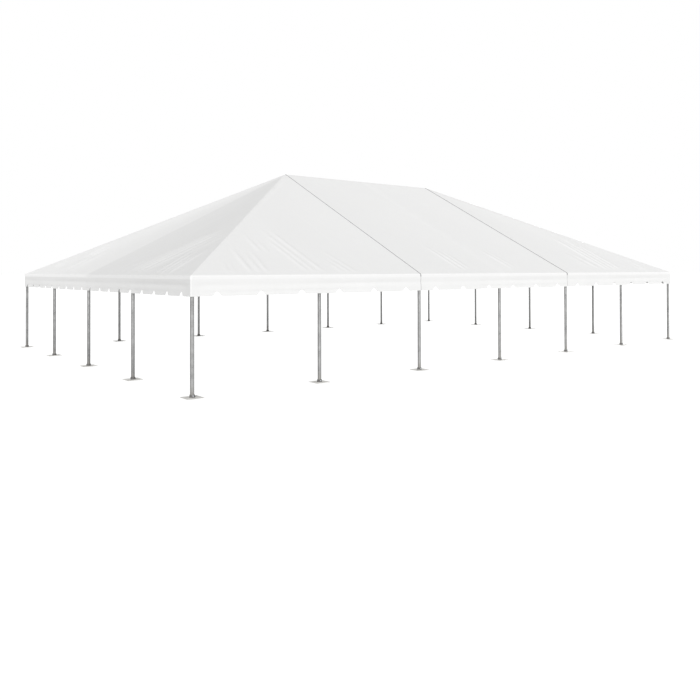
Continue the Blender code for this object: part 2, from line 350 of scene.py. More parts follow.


# %% [markdown]
# The strips over the seams are ribbed grey webbing, whose dark grey is partly painted shade, and the
# valance's lower edge is bound with a folded white tape. Both follow the flat map, so that their ribs run
# across the strip wherever it goes, which a pattern in space couldn't do.


# %% Webbing and binding
def make_webbing(name, colour, shade, rib, paler_below_eave=None):
    """Ribbed webbing with an uneven dye, which may be paler where it hangs below the eave."""
    net = Finish(name)
    dye = net.ramp(net.noise(net.place, 6.0), (0.3, shade), (0.7, colour))
    if paler_below_eave is not None:
        low = net.math("LESS_THAN", net.parts(net.place)["Z"], LIP_BOTTOM + 0.02)
        dye = net.mix(low, dye, (*paler_below_eave, 1.0))
    relief = net.bump(net.ribs("Y", rib), 0.0006, 0.5)
    rough = net.ramp(net.noise(net.place, 20.0), (0.3, 0.56), (0.7, 0.70))
    return net.done(dye, rough, normal=relief)


# Painted shade: the webbing's dark grey stands partly for the shadow line along the lacing flap.
SEAM_WEBBING_AND_SHADE = make_webbing(
    "seam_webbing_grey_and_painted_shade", (0.34, 0.34, 0.34), (0.29, 0.29, 0.295), 0.003, (0.52, 0.52, 0.52)
)
EDGE_BINDING = make_webbing("edge_binding_white", (0.75, 0.75, 0.745), (0.70, 0.70, 0.695), 0.004)
print("webbing:", SEAM_WEBBING_AND_SHADE.name, EDGE_BINDING.name)


# %% [markdown]
# Aluminium tube is drawn, so its fine scratches run along it, under a cloudy oxide skin. The
# scratches are noise that is squeezed across the tube on its flat map. The fittings are cast and
# grainy. The base plates are steel with a thin grey coat that is dusty and scuffed. All of this
# is relief in the shader, because real grooves as fine as these would need millions of faces.


# %% Metals
def make_tube_metal(name, pale, dark, rough, metallic=0.85, warm_foot=False):
    """Drawn tube: scratches along it, a cloudy skin, and on a leg a warmer, darker grey towards the ground.
    """
    net = Finish(name)
    skin = net.noise(net.place, 6.0, 6.0)
    scratches = net.noise(net.stretched(net.flat, 260.0, 2.5, 1.0), 1.0, 3.0)
    both = net.math("MULTIPLY_ADD", scratches, 0.4, skin)
    colour = net.ramp(both, (0.45, dark), (0.90, pale))
    if warm_foot:
        height = net.math("ADD", net.parts(net.place)["Z"], net.math("MULTIPLY", skin, 0.12))
        low = net.ramp(height, (0.10, 1.0), (0.34, 0.0))
        colour = net.mix(net.math("MULTIPLY", low, 0.55), colour, (0.30, 0.28, 0.25, 1.0))
    gloss = net.ramp(skin, (0.3, rough[0]), (0.7, rough[1]))
    return net.done(colour, gloss, metallic, net.bump(scratches, 0.0003, 0.25))


def make_cast_metal(name, pale, dark, rough, metallic=0.8):
    """Grainy metal with shallow dimples."""
    net = Finish(name)
    grain = net.noise(net.place, 160.0, 3.0)
    skin = net.noise(net.place, 12.0, 5.0)
    colour = net.ramp(net.math("MULTIPLY_ADD", grain, 0.3, skin), (0.40, dark), (0.85, pale))
    gloss = net.ramp(skin, (0.3, rough[0]), (0.7, rough[1]))
    return net.done(colour, gloss, metallic, net.bump(grain, 0.0006, 0.35))


def make_plate_steel(name, pale, dark):
    """Grey coated steel: dust in soft patches, and scuffs in the direction it is dragged."""
    net = Finish(name)
    dust = net.noise(net.place, 9.0, 7.0)
    scuffs = net.noise(net.stretched(net.place, 70.0, 14.0, 40.0), 1.0, 5.0)
    colour = net.ramp(net.math("MULTIPLY_ADD", scuffs, 0.5, dust), (0.45, dark), (0.98, pale))
    gloss = net.ramp(scuffs, (0.35, 0.80), (0.75, 0.60))
    net.shader.inputs["Specular IOR Level"].default_value = 0.25
    return net.done(colour, gloss, 0.1, net.bump(dust, 0.0010, 0.30))


LEG_METAL = make_tube_metal(
    "leg_aluminium_drawn", (0.40, 0.40, 0.397), (0.27, 0.27, 0.27), (0.24, 0.38), 0.9, warm_foot=True
)
ROOF_METAL = make_tube_metal("roof_aluminium_drawn", (0.50, 0.50, 0.49), (0.36, 0.36, 0.36), (0.30, 0.46))
CAST_METAL = make_cast_metal("fitting_aluminium_cast", (0.42, 0.42, 0.41), (0.30, 0.30, 0.30), (0.45, 0.62))
BOLT_STEEL = make_cast_metal("bolt_steel_zinc", (0.58, 0.59, 0.61), (0.40, 0.41, 0.43), (0.25, 0.42), 0.95)
PLATE_STEEL = make_plate_steel("plate_steel_coated", (0.80, 0.79, 0.768), (0.54, 0.532, 0.513))
# The collar's dark colour is partly its own dark steel and partly painted shade at the foot of the leg.
COLLAR_STEEL_AND_SHADE = make_plate_steel("collar_steel_dark_and_painted_shade", (0.17, 0.165, 0.16), (0.10, 0.098, 0.095))
print("metals:", LEG_METAL.name, ROOF_METAL.name, CAST_METAL.name, BOLT_STEEL.name, PLATE_STEEL.name)

# %% [markdown]
# ## The shape of the top
#
# A tent top isn't a set of flat panels. It is tight along the tubes that carry it and hangs a
# little between them; it is rounded over the ridge and the hips, and it breaks into small folds
# that run up the slope over the short rafters and in the middle of the bays.
#
# A cloth simulation could find such a shape, but it would leave the solids and put the folds where
# it likes. Here one function gives the height of the whole top over the plan, so that the folds
# stand where the picture has them and the three sections meet without a step at their seams.

# %% Bundles of small folds
RNG = np.random.default_rng(7)

# Each bundle: place along the eave, slant, lines, spacing, height, and the run up the slope
LONG_BUNDLES = [
    (-8.28, 0.25, 2, 0.16, 0.010, 0.05, 0.80), (-7.58, 0.12, 3, 0.19, 0.012, 0.10, 1.60),
    (-6.98, 0.05, 2, 0.18, 0.009, 1.00, 2.20), (-6.12, -0.10, 3, 0.19, 0.010, 0.10, 3.00),
    (-5.16, -0.22, 3, 0.20, 0.013, 0.03, 1.50), (-1.17, -0.03, 3, 0.18, 0.020, 0.20, 1.80),
    (0.95, -0.12, 2, 0.22, 0.020, 0.25, 2.00), (5.03, -0.05, 2, 0.34, 0.023, 0.30, 1.70),
    (5.92, 0.06, 4, 0.27, 0.028, 0.20, 3.00), (7.70, 0.05, 2, 0.24, 0.018, 0.10, 1.40),
]
END_BUNDLES = [
    (-5.12, 0.24, 2, 0.24, 0.020, 0.05, 0.90), (-4.62, 0.30, 4, 0.23, 0.025, 0.05, 1.70),
    (-2.85, -0.30, 4, 0.29, 0.027, 0.10, 2.70), (-3.55, -0.25, 2, 0.30, 0.022, 1.00, 2.60),
    (-2.10, -0.15, 2, 0.32, 0.018, 0.20, 1.50), (2.30, 0.30, 2, 0.45, 0.028, 0.20, 1.80),
    (3.20, 0.00, 2, 0.45, 0.034, 1.00, 2.70), (4.30, -0.12, 2, 0.40, 0.024, 0.30, 1.60),
]


def bundle_lines(bundles):
    """Each bundle becomes lines side by side, with small seeded changes of place, height and end."""
    lines = []
    for place, slant, count, spacing, height, start, end in bundles:
        for step in np.arange(count) - (count - 1) / 2:
            nudge, tall, reach = RNG.uniform((-0.15, 0.60, 0.60), (0.15, 1.0, 1.0))
            middle = place + spacing * (step + nudge)
            stop = start + (end - start) * reach
            lines.append((middle, slant * (1 + 0.1 * step), spacing * 0.32, height * tall, start, stop))
    return lines


LONG_FOLDS, END_FOLDS = bundle_lines(LONG_BUNDLES), bundle_lines(END_BUNDLES)
print("folds on a long side and an end:", len(LONG_FOLDS), len(END_FOLDS))


def fold_height(along, inwards, folds):
    """The sum of the folds: each is a bell across its line, which fades in and out along it."""
    total = np.zeros_like(along)
    for place, slant, width, height, start, end in folds:
        fade = smooth_step(inwards, start - 0.04, start + 0.25) * (1 - smooth_step(inwards, end - 0.8, end))
        total += height * bell(along - place - slant * inwards, width) * fade
    return total


# %% Height of the top over the plan
RIDGE_ROUND = 0.012
HIP_ROUND = 0.012
RAFTER_ROUND = 0.06
SLACK = 0.026
TIGHT_BY_HIP = 0.60
PLAIN_BY_HIP = 0.26
RIGHT_END_FOLDS = 0.35
GROOVE_DEPTH = 0.0014
GROOVE_INWARDS = 0.095
GROOVE_WIDTH = 0.022


def top_height(x, y):
    """Height of the top: planes rounded where they meet, less the slack, plus the folds.

    The slack is a half wave between neighbouring rafters times a half wave up the slope. It goes
    to nothing at the hips, and so do the folds. A shallow groove follows the eave where the hem
    ends. The folds of the right end are lower, because its hip is a clean line in the picture."""
    side = np.sqrt(y * y + RIDGE_ROUND**2)
    end = np.abs(x) - HALF_RIDGE
    run = (side + end + np.sqrt((side - end) ** 2 + HIP_ROUND**2)) / 2
    on_end = end > np.abs(y)
    along = np.where(on_end, y, x)
    inwards = EDGE_Y - np.maximum(np.abs(y), end)
    from_hip = np.where(end > -0.5, np.abs(np.abs(y) - end) / math.sqrt(2), np.inf)
    wave = np.sqrt(np.sin(math.pi * along / BAY) ** 2 + RAFTER_ROUND**2) - RAFTER_ROUND
    slack = SLACK * wave * np.sin(math.pi * np.clip(inwards / EDGE_Y, 0, 1)) ** 0.8
    slack = slack * (1 - bell(from_hip, TIGHT_BY_HIP))
    end_folds = np.where(x > 0, RIGHT_END_FOLDS, 1.0) * fold_height(along, inwards, END_FOLDS)
    folds = np.where(on_end, end_folds, fold_height(along, inwards, LONG_FOLDS))
    folds = folds * (1 - bell(from_hip, PLAIN_BY_HIP))
    groove = GROOVE_DEPTH * bell(inwards - GROOVE_INWARDS, GROOVE_WIDTH)
    return PEAK_Z - SLOPE * run + folds - slack - groove


print("height of the ridge:", round(float(top_height(np.zeros(1), np.zeros(1))[0]), 4))


# %% [markdown]
# ## The edge of the top
#
# At the eave the vinyl turns over the rail and hangs as a short lip. Seen in section this is the
# roof slope, an arc that is tangent to it, and an upright line that leans in a little. In plan the
# corners are round, because the cloth is pulled over round corner fittings. A bevel could round
# the edge as well, but a section of points keeps the lip where the valance hangs from it.

# %% The section of the edge
BEND = 0.045
LIP_LEAN = 0.0004
CORNER = 0.016
bend_middle = EDGE_Z + SLOPE * BEND * (1 - math.sin(PITCH)) - BEND * math.cos(PITCH)
arc_start = BEND * (1 - math.sin(PITCH))
turn = np.linspace(PITCH, math.pi / 2, 8)[1:]
lip_height = np.linspace(bend_middle, LIP_BOTTOM, 5)[1:]
lip_inwards = LIP_LEAN * smooth_step(bend_middle - lip_height, 0.0, 0.06)
edge_inwards = np.concatenate([BEND - BEND * np.sin(turn), lip_inwards])
edge_height = np.concatenate([bend_middle + BEND * np.cos(turn), lip_height])


def round_corners(x, y):
    """Plan points near a corner move from a square ring to a round one: a point at (big, small)
    past the corner's centre goes to big * (cos a, sin a), with a = 45 degrees * small / big."""
    past_x = np.abs(x) - (EDGE_X - CORNER)
    past_y = np.abs(y) - (EDGE_Y - CORNER)
    big = np.maximum(np.maximum(past_x, past_y), 1e-9)
    angle = math.pi / 4 * np.clip(np.minimum(past_x, past_y) / big, 0, 1)
    far, near = big * np.cos(angle), big * np.sin(angle)
    new_x = np.where(past_x >= past_y, far, near) + EDGE_X - CORNER
    new_y = np.where(past_x >= past_y, near, far) + EDGE_Y - CORNER
    in_corner = (past_x > 0) & (past_y > 0)
    return np.where(in_corner, np.sign(x) * new_x, x), np.where(in_corner, np.sign(y) * new_y, y)


print("edge section points:", len(edge_height), "lip from", round(bend_middle, 4), "to", LIP_BOTTOM)

# %% [markdown]
# ## The two hip ends
#
# Each end section is one sheet that covers three slopes. The folds run straight up the slope, so
# the columns of its grid do too: each starts at the eave and ends at the hip. The slopes on both
# sides of a hip use the same set of steps, so their columns end at the same points, where they
# are welded to one crease. Columns are closer together where the folds are. A plain grid over the
# plan would be simpler, but its squares would cross the hips and the folds at an angle.

# %% The grid of an end section
HALF_GAP = 0.0015
room = EDGE_Y - arc_start
HIP_STEPS = spread((0.0, 1.85, 20), (1.85, 5.5, 124), (5.5, room - 0.16, 12), (room - 0.16, room - 0.008, 9))
EAVE_STEPS = np.array([0.0, 0.02, 0.037, 0.053, 0.07, 0.09, 0.115, 0.15, 0.20, 0.30])
SLOPE_ROWS = 42
SHORT_COLUMN = 0.6
RIM_MAP = 0.13


def rows_up(length):
    """Distances up from the foot of the slope for columns of several lengths: a few fixed steps
    near the eave, which shrink in a short column, and then even steps to the top."""
    steps = EAVE_STEPS[:, None] * np.minimum(1, length / SHORT_COLUMN)
    share = np.linspace(0, 1, SLOPE_ROWS + 1)[1:, None]
    return np.concatenate([steps, steps[-1] + (length - steps[-1]) * share])


def half_slope(sign, on_end, mirror):
    """Half of a hip slope, from the middle or the seam to the corner. A column at step a is at
    (middle + a) along the eave and meets the hip at the distance (edge - a) inside the eave; the
    last column ends at the corner, where a fan closes the slope."""
    steps = HIP_STEPS[None, :]
    inwards = arc_start + rows_up(room - steps)
    along = np.broadcast_to(steps, inwards.shape)
    rim_inwards = edge_inwards[:, None]
    rim_steps = np.append(HIP_STEPS, room)[None, :] * (EDGE_Y - rim_inwards) / room
    corner = np.array([[room]]), np.array([[arc_start]])

    def lift(along, inwards, height=None):
        outer = EDGE_Y - inwards
        x, y = (outer, along) if on_end else (along, outer)
        x = x + HALF_RIDGE + HALF_GAP * np.clip(1 - x / 0.1, 0, 1)
        z = top_height(sign * x, mirror * y) if height is None else height
        x, y = round_corners(x, y)
        return stacked(sign * x, mirror * y, z), mirror * along if on_end else along + HALF_RIDGE

    flip = (sign * mirror > 0) == on_end
    points, u = lift(along, inwards)
    tip, tip_u = lift(*corner)
    body = grid_shape(points, u, inwards / math.cos(PITCH), flip=flip)
    last = fan_shape(points[:, -1], tip[0, 0], u[:, -1], inwards[:, -1] / math.cos(PITCH), flip=flip)
    foot = np.append(points[0], tip[0], axis=0)
    rim, _ = lift(rim_steps, np.broadcast_to(rim_inwards, rim_steps.shape), edge_height[:, None])
    rim_u = np.append(u[0], tip_u[0])[None, :]
    rim_v = -np.linspace(0.0, RIM_MAP, len(edge_height) + 1)[:, None] + arc_start
    rim = grid_shape(np.concatenate([foot[None], rim]), rim_u, rim_v, flip=not flip)
    return join_shapes(body, last, rim)


def end_section(sign):
    """The front slope, both halves of the end slope and the back slope, welded along the hips."""
    halves = [half_slope(sign, on_end, mirror) for on_end in (False, True) for mirror in (-1, 1)]
    return weld_shape(join_shapes(*halves))


# %% Thickness and painted shade of the cloth
def add_cloth_thickness(piece, thickness=CLOTH):
    """Solidify gives the sheet a back, just under the face that was made. The sheet's outline,
    where an edge has one face, is marked hard so that the cut edge doesn't shade the cloth."""
    mesh = piece.data
    edge_of_corner = np.empty(len(mesh.loops), np.int32)
    mesh.loops.foreach_get("edge_index", edge_of_corner)
    outline = np.bincount(edge_of_corner, minlength=len(mesh.edges)) == 1
    mesh.attributes.new("sharp_edge", "BOOLEAN", "EDGE").data.foreach_set("value", outline)
    wall = piece.modifiers.new("cloth", "SOLIDIFY")
    wall.thickness = thickness
    wall.offset = -1.0
    return piece


def paint_shade(piece, grey):
    """Keeps a number of painted shade for each point, 0 for the whitest cloth and 1 for the greyest."""
    place = np.empty(3 * len(piece.data.vertices), np.float32)
    piece.data.vertices.foreach_get("co", place)
    layer = piece.data.attributes.new("painted_shade", "FLOAT", "POINT")
    layer.data.foreach_set("value", np.asarray(grey(*place.reshape(-1, 3).T), np.float32))
    return piece


def top_painted_shade(x, y, z):
    """Painted shade: the front half of each end is made greyer than the back half, greyest towards the front
    hip, where less light falls on the end slope, and the lip is less grey. A pale stripe runs up the middle
    of the long sides, and they get greyer towards the right corners."""
    end = np.abs(x) - HALF_RIDGE
    across = y / np.maximum(np.maximum(end, np.abs(y)), 0.1)
    front_half = 0.94 + 0.08 * smooth_step(-across, 0.1, 0.9)
    back_half = 0.46 - 0.24 * smooth_step(across, 0.0, 0.9)
    end_shade = back_half + (front_half - back_half) * (1 - smooth_step(y, -0.22, 0.16))
    end_shade = end_shade * (1 - 0.35 * smooth_step(EDGE_Z - z, 0.0, 0.04))
    pale_stripe = 0.06 * bell(x - 0.10, 0.16)
    greyer_to_right = 0.05 * smooth_step(x, -0.10, 0.02) + 0.08 * smooth_step(x, HALF_RIDGE, HALF_LONG)
    return np.where(end > np.abs(y), end_shade, 0.60 - pale_stripe - greyer_to_right)


def valance_painted_shade(x, y, z):
    """Painted shade: the valances of the ends get greyer towards the front corners, like the end slopes
    above them.
    """
    return 0.45 * smooth_step(-y, -3.0, EDGE_Y) * (np.abs(x) > EDGE_X - 0.05)


# %% Make the two end sections
tops = {}
for end, sign in ENDS:
    piece = make_piece(f"top_{end}_cloth", end_section(sign), TOP_VINYL)
    # Painted shade is kept on the points of each end section.
    piece = add_cloth_thickness(paint_shade(piece, top_painted_shade))
    tops[end] = dress(piece, "top_vinyl", f"top_{end}")
    print(piece.name, "faces:", len(piece.data.polygons))

# %% [markdown]
# ## The middle section
#
# The middle section is a plain strip that runs from one long eave over the ridge to the other. Its
# grid goes along X one way and from lip to lip the other way. It has no hips, so evenly spaced
# columns are enough, and its rows are those of the ends, so that both bend in the same places.

# %% The grid of the middle section
MIDDLE_COLUMNS = 206
MEASURED_COLUMN = 60
half_inwards = np.concatenate([edge_inwards[::-1], arc_start + rows_up(np.array([[room - 0.02]]))[:, 0]])
STRIP_Y = np.concatenate([half_inwards - EDGE_Y, [-0.010, 0.0, 0.010], (EDGE_Y - half_inwards)[::-1]])


def strip_height(x, y):
    """The top's height, with the section of the edge at both ends of the strip."""
    z = top_height(x, y)
    z[: len(edge_height)] = edge_height[::-1, None]
    z[-len(edge_height) :] = edge_height[:, None]
    return z


def middle_section():
    """Columns along x between the seams, rows from the front lip to the back lip. The length from
    lip to lip is measured along one column."""
    x = np.linspace(HALF_GAP - HALF_RIDGE, HALF_RIDGE - HALF_GAP, MIDDLE_COLUMNS)
    grid_x, grid_y = np.meshgrid(x, STRIP_Y)
    z = strip_height(grid_x, grid_y)
    rise = np.diff(z[:, MEASURED_COLUMN])
    down = np.concatenate([[0.0], np.hypot(np.diff(STRIP_Y), rise).cumsum()])
    points = stacked(grid_x, grid_y, z)
    return grid_shape(points, x[None, :], down[:, None], flip=True), float(down[-1])


shape, middle_length = middle_section()
# The middle section gets the same painted shade.
tops["middle"] = add_cloth_thickness(paint_shade(make_piece("top_middle_cloth", shape, TOP_VINYL), top_painted_shade))
dress(tops["middle"], "top_vinyl", "top_middle")
print("middle section:", round(middle_length, 2), "m from lip to lip")

# %% [markdown]
# ## Valances
#
# A valance is a long strip with a scalloped lower edge: wide flat scallops with rounded corners,
# parted by small bell-shaped notches. The strip hangs from the lip, so it leans in under the rail,
# swings out a little lower down, and is never quite flat.
#
# The grid runs along the side one way and from the top edge to the scalloped edge the other way,
# so its last row is the outline itself. Cutting the notches out of a plain strip would leave
# ragged faces along them.

# %% The outline and the hang of a valance
NOTCHES = 18
NOTCH_SHARE = 0.25
NOTCH_DEPTH = 0.090
VALANCE_TOP = LIP_BOTTOM + 0.012
PROUD = 0.0010
TUCK = 0.0080
SWING = 0.010
CREASE = 0.0045
SWAY = 0.0045
TAPE_OUT = 0.003
TAPE_UP = 0.006
TAPE_ROUND = 0.03
SIDES = {
    "front": (EDGE_X, 2 * HALF_LONG / NOTCHES, 0.4),
    "back": (EDGE_X, 2 * HALF_LONG / NOTCHES, 1.9),
    "left": (EDGE_Y, 2 * HALF_WIDE / NOTCHES, 2.7),
    "right": (EDGE_Y, 2 * HALF_WIDE / NOTCHES, 4.1),
}


def scallop_edge(along, pitch):
    """Height of the lower edge: flat, with a squared cosine bell in the middle of each pitch."""
    place = along / pitch - np.floor(along / pitch) - 0.5
    notch = np.cos(np.clip(place / (NOTCH_SHARE / 2), -1, 1) * math.pi / 2) ** 2
    return VALANCE_BOTTOM + NOTCH_DEPTH * notch


def hang(side, along, height):
    """How far a strip stands out from the lip: a tuck under the rail, a swing out below it, a
    soft crease above the hem, and slow waves that grow towards the free edge. All of it dies out
    at the corners."""
    half_length, _, phase = SIDES[side]
    down = (VALANCE_TOP - height) / (VALANCE_TOP - VALANCE_BOTTOM)
    tuck = -TUCK * bell(down - 0.36, 0.15) * (1 + 0.5 * np.sin(1.1 * along + phase))
    swing = SWING * smooth_step(down, 0.30, 0.95)
    crease = -CREASE * bell(down - 0.80, 0.08) * (1 + 0.8 * np.sin(0.8 * along + 2 * phase))
    waves = np.sin(2.3 * along + phase) + 0.6 * np.sin(5.1 * along + 2.1 * phase)
    waves = waves + 0.35 * np.sin(11.7 * along - phase)
    corner = smooth_step(half_length - np.abs(along), 0.0, 0.35)
    return PROUD + corner * (tuck + swing + crease + SWAY * np.abs(down) ** 1.5 * waves)


def stand_up(side, along, out, height):
    """Points of a strip: along the side, out from the edge of the top, and up."""
    sign = -1 if side in ("front", "left") else 1
    if side in ("front", "back"):
        x, y = -sign * along, sign * (EDGE_Y + out)
    else:
        x, y = sign * (EDGE_X + out), sign * along
    return stacked(*round_corners(*np.broadcast_arrays(x, y)), height)


def valance_columns(half_length, pitch):
    """Places along the strip: close together at each notch and wider apart between them."""
    notch = pitch * NOTCH_SHARE / 2
    middles = pitch * (np.arange(NOTCHES) + 0.5 - NOTCHES / 2)
    notched = middles[:, None] + notch * np.linspace(-1, 1, 15)
    gap = (middles[:-1, None] + notch) + (pitch - 2 * notch) * np.linspace(0, 1, 14)[1:-1]
    ends = spread((middles[-1] + notch, half_length - 0.06, 7), (half_length - 0.06, half_length, 6))[1:]
    return np.sort(np.concatenate([notched.reshape(-1), gap.reshape(-1), ends, -ends]))


print("valance from", VALANCE_TOP, "down to", VALANCE_BOTTOM, "with notches:", NOTCHES)


# %% Make the four valances and bind their lower edges
def valance_shape(side):
    """Rows go down from the top edge to the outline, closer together where the strip bends."""
    half_length, pitch, _ = SIDES[side]
    along = valance_columns(half_length + PROUD, pitch)[None, :]
    share = spread((0.0, 0.55, 9), (0.55, 1.0, 6))[:, None]
    height = VALANCE_TOP + share * (scallop_edge(along, pitch) - VALANCE_TOP)
    points = stand_up(side, along, hang(side, along, height), height)
    return grid_shape(points, along, VALANCE_TOP - height)


def binding_shape(side):
    """A folded tape: an ellipse that reaches 3 mm out and 6 mm up from its middle, carried along
    the outline and held just above it."""
    half_length, pitch, _ = SIDES[side]
    along = valance_columns(half_length, pitch)
    edge = scallop_edge(along, pitch)
    rise = np.gradient(edge, along)
    steep = np.sqrt(1 + rise**2)
    turn_angle = np.linspace(0, 2 * math.pi, 9)[:-1][:, None]
    shift = TAPE_UP * (1 + np.sin(turn_angle))
    ring_along = along - rise / steep * shift
    ring_height = edge + shift / steep
    out = hang(side, along[None, :], edge[None, :] + TAPE_UP) - CLOTH / 2 + TAPE_OUT * np.cos(turn_angle)
    points = stand_up(side, ring_along, out, ring_height)
    length = np.concatenate([[0.0], np.hypot(np.diff(along), np.diff(edge)).cumsum()])
    around = np.linspace(0, TAPE_ROUND, 9)
    return capped_shape(points.transpose(1, 0, 2), around, length)


valances, bindings = {}, {}
for side in SIDES:
    piece = make_piece(f"valance_{side}_cloth", valance_shape(side), VALANCE_VINYL)
    # Painted shade on the end valances.
    if side in ("left", "right"):
        paint_shade(piece, valance_painted_shade)
    add_cloth_thickness(piece)
    valances[side] = dress(piece, "valance_vinyl", f"valance_{side}")
    piece = make_piece(f"valance_{side}_binding", binding_shape(side), EDGE_BINDING)
    bindings[side] = dress(piece, "valance_vinyl")
print("valances:", ", ".join(piece.name for piece in valances.values()))

# %% [markdown]
# ## Seam covers
#
# Where two sections of the top meet, they are laced together and a strip of grey webbing covers the lacing.
# It runs from the foot of the front valance, up over the ridge and down to the foot of the back valance. Its
# dark grey is partly painted shade: it also stands for the shadow line along the lacing flap. A dark line in
# the cloth's finish would show its colour, but not its edge and its shine, so it is a strip of its own: a
# line is traced along the cloth, and a slightly domed section is carried along it.


# %% The strips over the two seams
COVER = 0.0012
COVER_HALF = 0.012
COVER_DOME = 0.0028


def seam_line(x):
    """Rows of (y, z) along the cloth at one x: front valance, lip, slopes, lip, back valance."""
    height = np.linspace(VALANCE_BOTTOM + 0.001, LIP_BOTTOM + 0.004, 14)
    front_y = -EDGE_Y - hang("front", x, height)
    back_y = EDGE_Y + hang("back", -x, height)
    top_y = STRIP_Y[2:-2]
    top_z = strip_height(np.full((len(STRIP_Y), 1), x), STRIP_Y[:, None])[2:-2, 0]
    return np.concatenate([front_y, top_y, back_y[::-1]]), np.concatenate([height, top_z, height[::-1]])


def seam_shape(x, wider):
    """The line moved out along its own normal, and widened each way with a low dome. On the roof the strip
    is wider than on the valances, and more so at the right seam, as in the picture; there the extra width of
    dark grey is painted shadow of the flap's edge."""
    y, z = seam_line(x)
    step_y, step_z = np.gradient(y), np.gradient(z)
    length = np.hypot(step_y, step_z)
    share = np.linspace(-1, 1, 7)[None, :]
    lift = COVER / 2 + COVER_DOME * (1 - share**4)
    points_y = y[:, None] - (step_z / length)[:, None] * lift
    points_z = z[:, None] + (step_y / length)[:, None] * lift
    half_width = COVER_HALF + wider * smooth_step(z[:, None], LIP_BOTTOM, LIP_BOTTOM + 0.05)
    points = stacked(x + half_width * share, points_y, points_z)
    return grid_shape(points, half_width * share, np.cumsum(length)[:, None], flip=True)


for end, x, wider in (("left", -HALF_RIDGE, 0.005), ("right", HALF_RIDGE, 0.015)):
    piece = make_piece(f"seam_cover_{end}", seam_shape(x, wider), SEAM_WEBBING_AND_SHADE)
    dress(add_cloth_thickness(piece, COVER), "top_vinyl")

# %% [markdown]
# ## Turned parts
#
# Tubes, sleeves, hubs and bolt heads are all turned: an outline is spun about an axis. The outline
# is a list of (distance from the start, radius), so a chamfer or a raised lip is one point more,
# where a plain cylinder would need a second tool for each. A bolt head is the same with six sides.


# %% A turned shape and a bolt
def turned(start, end, outline, sides=24):
    """Point = start + distance * axis + radius * (cos t * across + sin t * beside), for each point
    of the outline and each angle t. A disc closes both ends."""
    start, end = np.asarray(start, float), np.asarray(end, float)
    axis = (end - start) / np.linalg.norm(end - start)
    across = np.cross((0.0, 0.0, 1.0) if abs(axis[2]) < 0.9 else (0.0, 1.0, 0.0), axis)
    across /= np.linalg.norm(across)
    beside = np.cross(axis, across)
    distance, radius = np.array(outline, float).T
    t = np.arange(sides)[:, None] * 2 * math.pi / sides
    ring = np.cos(t) * across + np.sin(t) * beside
    points = start + distance[:, None, None] * axis + radius[:, None, None] * ring
    around = np.linspace(0, 2 * math.pi * radius.max(), sides + 1)
    along = np.concatenate([[0.0], np.hypot(np.diff(distance), np.diff(radius)).cumsum()])
    return capped_shape(points, around, along, flip=True)


def tube(start, end, radius, chamfer=0.0015, sides=24):
    """A straight tube with slightly rounded ends."""
    length = float(np.linalg.norm(np.subtract(end, start)))
    rings = np.linspace(chamfer, length - chamfer, 3)
    outline = [(0.0, radius - chamfer), *((r, radius) for r in rings), (length, radius - chamfer)]
    return turned(start, end, outline, sides)


def bolt(foot, direction, size=0.010):
    """A washer and a hexagonal head that stand on a surface and point away from it."""
    foot, direction = np.asarray(foot, float), np.asarray(direction, float)
    washer = turned(foot, foot + direction, [(-0.001, 1.5 * size), (0.0018, 1.5 * size)], 14)
    head = turned(foot, foot + direction, [(0.001, size), (0.0075, size), (0.0088, 0.8 * size)], 6)
    return join_shapes(washer, head)


print("faces in a bolt:", sum(len(f) for f in bolt((0, 0, 0), (0, 0, 1))[1]))


# %% [markdown]
# ## Legs and base plates
#
# Each leg is an aluminium tube of 80 mm that stands in a short steel collar. The collar is welded
# to a base plate of 356 mm (14 inches) square with a stake hole near each corner.
#
# The plate is made of four quarters. In each, rings of points run from the round hole to the
# quarter's square outline, so that the hole is part of the grid and no boolean is needed. The
# weld is a bead with a ripple for each drop of the rod.

# %% The foot of a leg
LEG_RADIUS = 0.040
COLLAR_RADIUS = 0.0525
COLLAR_TOP = 0.060
PLATE_HALF = 0.178
PLATE_TOP = 0.010
HOLE = 0.011
HOLE_PLACE = 0.76 * PLATE_HALF
WELD = 0.0045
WELD_RIPPLES = 40
SEATED = 0.002
COLLAR_BOLT_Z = 0.038


def on_long_side(y):
    """Whether a leg at this y stands on one of the long sides."""
    return abs(y) > HALF_WIDE - BAY / 2


def square_ring(count, low):
    """Even steps round a square that goes from low to 1, beginning at its lower left corner."""
    step = np.linspace(0, 4, count + 1)[:-1]
    along = np.interp(step, range(5), (low, 1, 1, low, low))
    return stacked(along, np.interp(step, range(5), (low, low, 1, 1, low)))


def plate_quarter(side_x, side_y):
    """Rows: outline and hole rim on the top, hole rim and outline underneath. The outline goes
    round a square in 32 steps, and each rim point lies towards its outline point."""
    outline = square_ring(32, 0) * PLATE_HALF
    away = outline - HOLE_PLACE
    rim = HOLE_PLACE + HOLE * away / np.linalg.norm(away, axis=1)[:, None]
    x, y = np.moveaxis(np.stack([outline, rim, rim, outline]) * (side_x, side_y), -1, 0)
    points = stacked(x, y, [[PLATE_TOP], [PLATE_TOP], [0.0], [0.0]])
    around = np.linspace(0, 4 * PLATE_HALF, 33)[None, :]
    down = np.array([[0.0], [0.1], [0.11], [0.21]])
    return grid_shape(points, around, down, wrap=True, flip=side_x * side_y > 0)


def plate_sides():
    """The square outline of the whole plate in 64 steps, at the top and underneath."""
    x, y = square_ring(64, -1).T * PLATE_HALF
    points = stacked(x, y, [[PLATE_TOP], [0.0]])
    around = np.linspace(0, 8 * PLATE_HALF, 65)[None, :]
    return grid_shape(points, around, np.array([[0.0], [PLATE_TOP]]), wrap=True)


